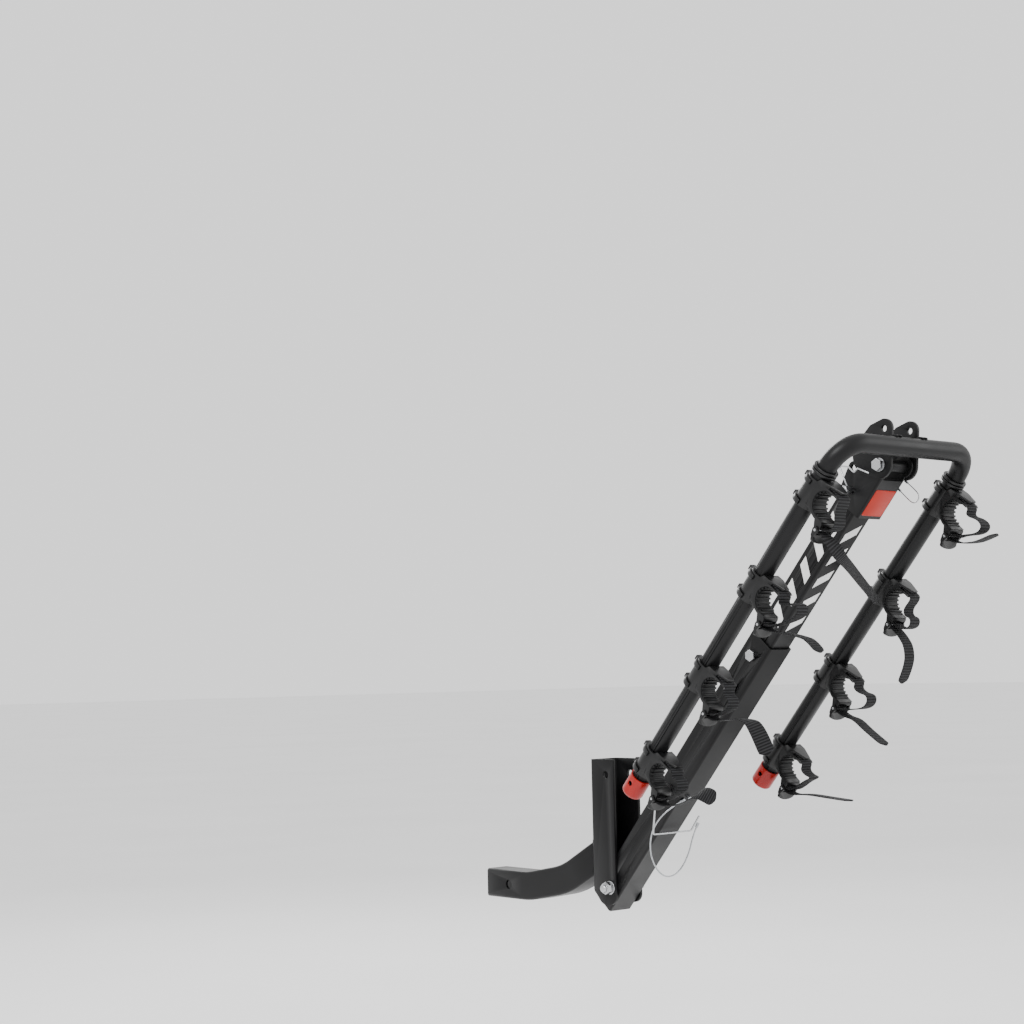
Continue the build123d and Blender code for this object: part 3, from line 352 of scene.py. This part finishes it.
def band(name, line, side, width, thickness, finish, round_end=9.0):
    """A flat band whose width is one number or one per station. At each station of the line stands
    a rounded oblong with half-axes width/2 along side and thickness/2 along tangent x side. The
    last stretch narrows to a round tip."""
    tangent = unit(np.gradient(line, axis=0))
    side = unit(side - (side * tangent).sum(1, keepdims=True) * tangent)
    width = np.broadcast_to(width, len(line))
    face = np.cross(tangent, side)
    run = np.concatenate([[0], np.cumsum(np.linalg.norm(np.diff(line, axis=0), axis=1))]) / MM
    left = np.clip((run[-1] - run) / round_end, 0, 1)
    narrow = np.sqrt(np.clip(1 - (1 - left) ** 2, 0.05, 1))
    count = 20
    angle = np.linspace(0, 2 * np.pi, count, endpoint=False)
    flat = np.sign(np.cos(angle)) * np.abs(np.cos(angle)) ** 0.35
    thick = np.sign(np.sin(angle)) * np.abs(np.sin(angle)) ** 0.8
    ring = (side[:, None] * (flat[None, :, None] * (narrow * width)[:, None, None] / 2)
            + face[:, None] * (thick[None, :, None] * thickness / 2)) * MM
    places = (line[:, None] + ring).reshape(-1, 3)
    stations = len(line)
    i, j = np.meshgrid(np.arange(stations - 1), np.arange(count), indexing="ij")
    k = (j + 1) % count
    quads = np.stack([i * count + j, i * count + k, (i + 1) * count + k, (i + 1) * count + j], -1)
    caps = [list(range(count))[::-1], list(range((stations - 1) * count, stations * count))]
    mesh = bpy.data.meshes.new(name)
    mesh.from_pydata(places.tolist(), [], quads.reshape(-1, 4).tolist() + caps)
    across = flat * width.max() / 2
    corner = np.stack([np.stack([run[i], across[j]], -1), np.stack([run[i], across[k]], -1),
                       np.stack([run[i + 1], across[k]], -1), np.stack([run[i + 1], across[j]], -1)], 2)
    uv = np.concatenate([corner.reshape(-1), np.zeros(4 * count)])
    mesh.uv_layers.new(name="run").data.foreach_set("uv", uv)
    mesh.polygons.foreach_set("use_smooth", [True] * len(mesh.polygons))
    mesh.materials.append(finish)
    piece = bpy.data.objects.new(name, mesh)
    bpy.context.scene.collection.objects.link(piece)
    print(name, "length mm", round(float(run[-1])))
    return piece


# %% [markdown]
# ## Straps
# Each cradle's webbing comes out of a slot in the beak, sags in a slack loop, doubles round the
# hinge bar of its buckle and ends in a free tail. No two hang alike. Routes are written along the
# arm and away from the arm's axis, in millimetres, as the CAD has them.

# %% Strap routes
SLOT = 24.7
BAR = (-36.5, 51.5)
TURN = 3.25
STRAP_WIDTH = 25.0
STRAP_THICKNESS = 1.8
STRAP_PATHS = {
    ("left", 0): ([(15, 58.5), (-2, 63), (-11, 73), (-23, 70)], []),
    ("left", 1): ([(10, 58.5), (12, 67), (32, 84), (26, 97), (12, 96), (-22, 72)],
                  [(-34, 72), (-20, 92), (-6, 116), (3, 136), (0, 160)]),
    ("left", 2): ([(10, 58.5), (12, 73), (0, 81), (-22, 69)],
                  [(-34, 72), (-14, 90), (6, 112), (10, 136), (-7, 178)]),
    ("left", 3): ([(15, 58.5), (20, 71), (8, 83), (-22, 69)],
                  [(-32, 75), (-6, 97), (28, 108), (40, 125), (44, 141)]),
    ("right", 0): ([(9, 58.5), (18, 80), (15, 94), (0, 93), (-22, 68)],
                   [(-34, 72), (-22, 87), (-8, 101), (18, 116)]),
    ("right", 1): ([(16, 58.5), (0, 57), (-8, 65), (-3, 77), (-14, 84), (-27, 76)],
                   [(-41, 78), (-47, 97), (-68, 115), (-101, 121)]),
    ("right", 2): ([(13, 58.5), (14, 72), (22, 86), (14, 95), (-2, 92), (-24, 69)],
                   [(-36, 74), (-27, 90), (-26, 120), (-20, 160)]),
    ("right", 3): ([(12, 58.5), (11, 71), (17, 84), (1, 75), (-22, 68)],
                   [(-34, 71), (-22, 83), (-8, 99), (13, 128), (40, 164)]),
}


def strap_route(loop, tail):
    """The whole route: slot, slack loop, round the bar, tail."""
    start = [(SLOT, 30.0), (SLOT, 56.0)]
    wrap = [(BAR[0] + TURN, BAR[1] + 9), (BAR[0] + TURN, BAR[1] - TURN),
            (BAR[0] - TURN, BAR[1] - TURN), (BAR[0] - TURN, BAR[1] + 8)]
    return start + loop + wrap + tail


# The first left strap's tail twists and crosses behind the mast: places, width directions, widths.
CROSSING = [(-152.4, 819.7, 90.0), (-151.5, 818.5, 98.0), (-143.0, 811.0, 112.0), (-126.0, 799.5, 117.5),
            (-95.0, 784.0, 111.5), (10.0, 726.7, 83.2), (126.0, 664.5, 52.0)]
CROSSING_WIDTHS = [(1, 0, 0), (1, 0.1, 0), (0.9, 0.5, 0), (0.6, 0.8, 0), (0.456, 0.872, 0),
                   (0.456, 0.872, 0), (0.456, 0.872, 0)]
CROSSING_GATHERS = [25, 24, 21, 17, 15, 14, 13]    # the pull gathers the webbing narrower

# The lower left tails twist as they fall: which of a route's last places, and the width there.
TAIL_TURNS = {
    ("left", 2): [(-2, (0.8, 0.6, 0)), (-1, (0.5, 0.85, 0.1))],
    ("left", 3): [(-3, (0.85, 0.4, -0.3)), (-2, (0.4, 0.8, -0.4)), (-1, (0.2, 0.9, -0.4))],
}

# %% Straps
for side_name, side_sign in (("left", -1), ("right", 1)):
    for index, place in enumerate(CRADLE_PLACES):
        loop, tail = STRAP_PATHS[(side_name, index)]
        route = [(side_sign * ARM_HALF, place + u, ARM_BACK + v) for u, v in strap_route(loop, tail)]
        widths = [(1.0, 0.0, 0.0)] * len(route)
        for turned_place, width in TAIL_TURNS.get((side_name, index), []):
            widths[turned_place] = width
        gathers = [STRAP_WIDTH] * len(route)
        if not tail:
            route += CROSSING
            widths += CROSSING_WIDTHS
            gathers += CROSSING_GATHERS
        line = smooth_line(mast_points(route))
        side = smooth_line(np.asarray(widths, float)) @ MAST_AXES
        wide = smooth_line(np.asarray(gathers, float)[:, None])[:, 0]
        strap = band(f"webbing_{side_name}_{index + 1}", line, side, wide, STRAP_THICKNESS, WEBBING)
        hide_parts(f"strap_{side_name}_{index + 1}")
        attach(strap, "carry_arms")

# %% [markdown]
# ## Wire lanyards
# Thin plated cables keep the pins from getting lost. Each is one NURBS curve through the route the
# CAD tube takes, with a round bevel as its thickness.


# %% Wire lanyards
def lanyard(name, places, diameter_mm):
    """A NURBS curve of order 3 with the places as control points and a round section."""
    curve = bpy.data.curves.new(name, "CURVE")
    curve.dimensions = "3D"
    curve.bevel_depth = diameter_mm * MM / 2
    curve.bevel_resolution = 4
    curve.resolution_u = 16
    curve.use_fill_caps = True
    spline = curve.splines.new("NURBS")
    spline.points.add(len(places) - 1)
    spline.points.foreach_set("co", np.c_[mast_points(places), np.ones(len(places))].ravel())
    spline.order_u = 3
    spline.use_endpoint_u = True
    curve.materials.append(WIRE)
    piece = bpy.data.objects.new(name, curve)
    bpy.context.scene.collection.objects.link(piece)
    return piece


TILT_ROUTE = [(-14, 226, 28), (-38, 208, 28), (-51, 181, 29), (-52, 152, 34), (-46, 122, 50), (-24, 96, 68),
              (4, 88, 74), (31, 99, 66), (46, 122, 51), (50, 146, 37), (51, 170, 32)]
HEAD_ROUTE = [(37, 834, 14), (37, 842, -6), (38, 860, -18), (38, 871, 0.5), (38, 867.5, 43),
              (38, 868, 66.5), (38, 885, 67), (38, 887, 47), (38, 886, 29)]
tilt_wire = lanyard("tilt_pin_cable", TILT_ROUTE, 2.5)
head_wire = lanyard("head_pin_cable", HEAD_ROUTE, 1.6)
for wire, route, node, body, length, diameter, crimps in (
        (tilt_wire, TILT_ROUTE, "tilt_pin_lanyard", "tilt_pin_set", 0.301, 0.0025, "tilt_lanyard_ferrules"),
        (head_wire, HEAD_ROUTE, "head_pin_lanyard", "mast", 0.174, 0.0016, "head_lanyard_ferrules")):
    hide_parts(node)
    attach(wire, body)

# %% [markdown]
# ## Painted bars on the mast
# The upper mast carries a plain row of slanted white bars on its side and on its rear face. Each
# is a parallelogram a fraction of a millimetre proud of the tube.


# %% Painted bars
UPPER_MAST_HALF = 22.225          # half the upper tube's side


def painted_bars(name, places, half_run, half_wide, slant, lift, face):
    """Closed thin slabs, lifted off the face: corner = place +- half_run along +- half_wide times
    (slant along, 1 across)."""
    signs = np.array([(-1, -1), (1, -1), (1, 1), (-1, 1)], float)
    corners = []
    for place in places:
        for depth in (0.0, lift):
            wide = signs[:, 1] * half_wide
            run = place + signs[:, 0] * half_run + wide * slant
            if face == "side":
                corners.append(np.c_[np.full(4, -UPPER_MAST_HALF - depth), run, -wide])
            else:
                corners.append(np.c_[wide, run, np.full(4, UPPER_MAST_HALF + depth)])
    corners = mast_points(np.vstack(corners))
    box = np.array([(0, 1, 2, 3), (4, 7, 6, 5), (0, 4, 5, 1), (1, 5, 6, 2), (2, 6, 7, 3), (3, 7, 4, 0)])
    faces = np.vstack([box + 8 * n for n in range(len(places))])
    mesh = bpy.data.meshes.new(name)
    mesh.from_pydata(corners.tolist(), [], faces.tolist())
    mesh.materials.append(PAINT)
    piece = bpy.data.objects.new(name, mesh)
    bpy.context.scene.collection.objects.link(piece)
    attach(piece, "mast")
    return piece


BAR_PLACES = np.arange(600, 790, 44)
for face_name in ("rear", "side"):
    painted_bars(f"painted_bars_{face_name}", BAR_PLACES, 9, 13, 0.7, 0.15, face_name)

# %% [markdown]
# ## Studio
# A very wide pale floor, soft light from a large key, a fill and a rim, and a pale world keep the
# black steel readable without hard glints.

# %% Floor and lights
floor_made, floor_tree, floor_out = material("pale_floor")
floor_mottle = noise(floor_tree, 900, 2.0).outputs["Fac"]
floor_shader = add(floor_tree, "BsdfPrincipled", {
    "Base Color": ramp(floor_tree, floor_mottle, 0.3, 0.7, linear("#f0f0f0"), linear("#f4f4f4")),
    "Roughness": 0.9})
floor_tree.links.new(floor_shader.outputs["BSDF"], floor_out.inputs["Surface"])
FLOOR_LEVEL = -0.42
reach = 60.0
floor_mesh = bpy.data.meshes.new("floor")
floor_mesh.from_pydata([(-reach, -reach, FLOOR_LEVEL), (reach, -reach, FLOOR_LEVEL),
                        (reach, reach, FLOOR_LEVEL), (-reach, reach, FLOOR_LEVEL)], [], [(0, 1, 2, 3)])
floor_mesh.materials.append(floor_made)
floor = bpy.data.objects.new("floor", floor_mesh)
bpy.context.scene.collection.objects.link(floor)

world = bpy.data.worlds.new("studio")
world.use_nodes = True
world.node_tree.nodes["Background"].inputs["Color"].default_value = (1.0, 1.0, 1.0, 1.0)
world.node_tree.nodes["Background"].inputs["Strength"].default_value = 1.35
bpy.context.scene.world = world
CENTRE = (0.0, -0.55, 0.35)


def soft_light(name, place, size, power):
    """A square area light that faces the middle of the rack."""
    light = bpy.data.lights.new(name, "AREA")
    light.size = size
    light.energy = power
    lamp = bpy.data.objects.new(name, light)
    lamp.location = place
    lamp.rotation_euler = (Vector(CENTRE) - lamp.location).to_track_quat("-Z", "Y").to_euler()
    bpy.context.scene.collection.objects.link(lamp)


soft_light("key", (-2.6, -1.6, 2.6), 1.6, 90)
soft_light("fill", (2.2, -3.0, 1.6), 2.0, 40)
soft_light("rim", (1.2, 2.2, 2.4), 1.5, 60)
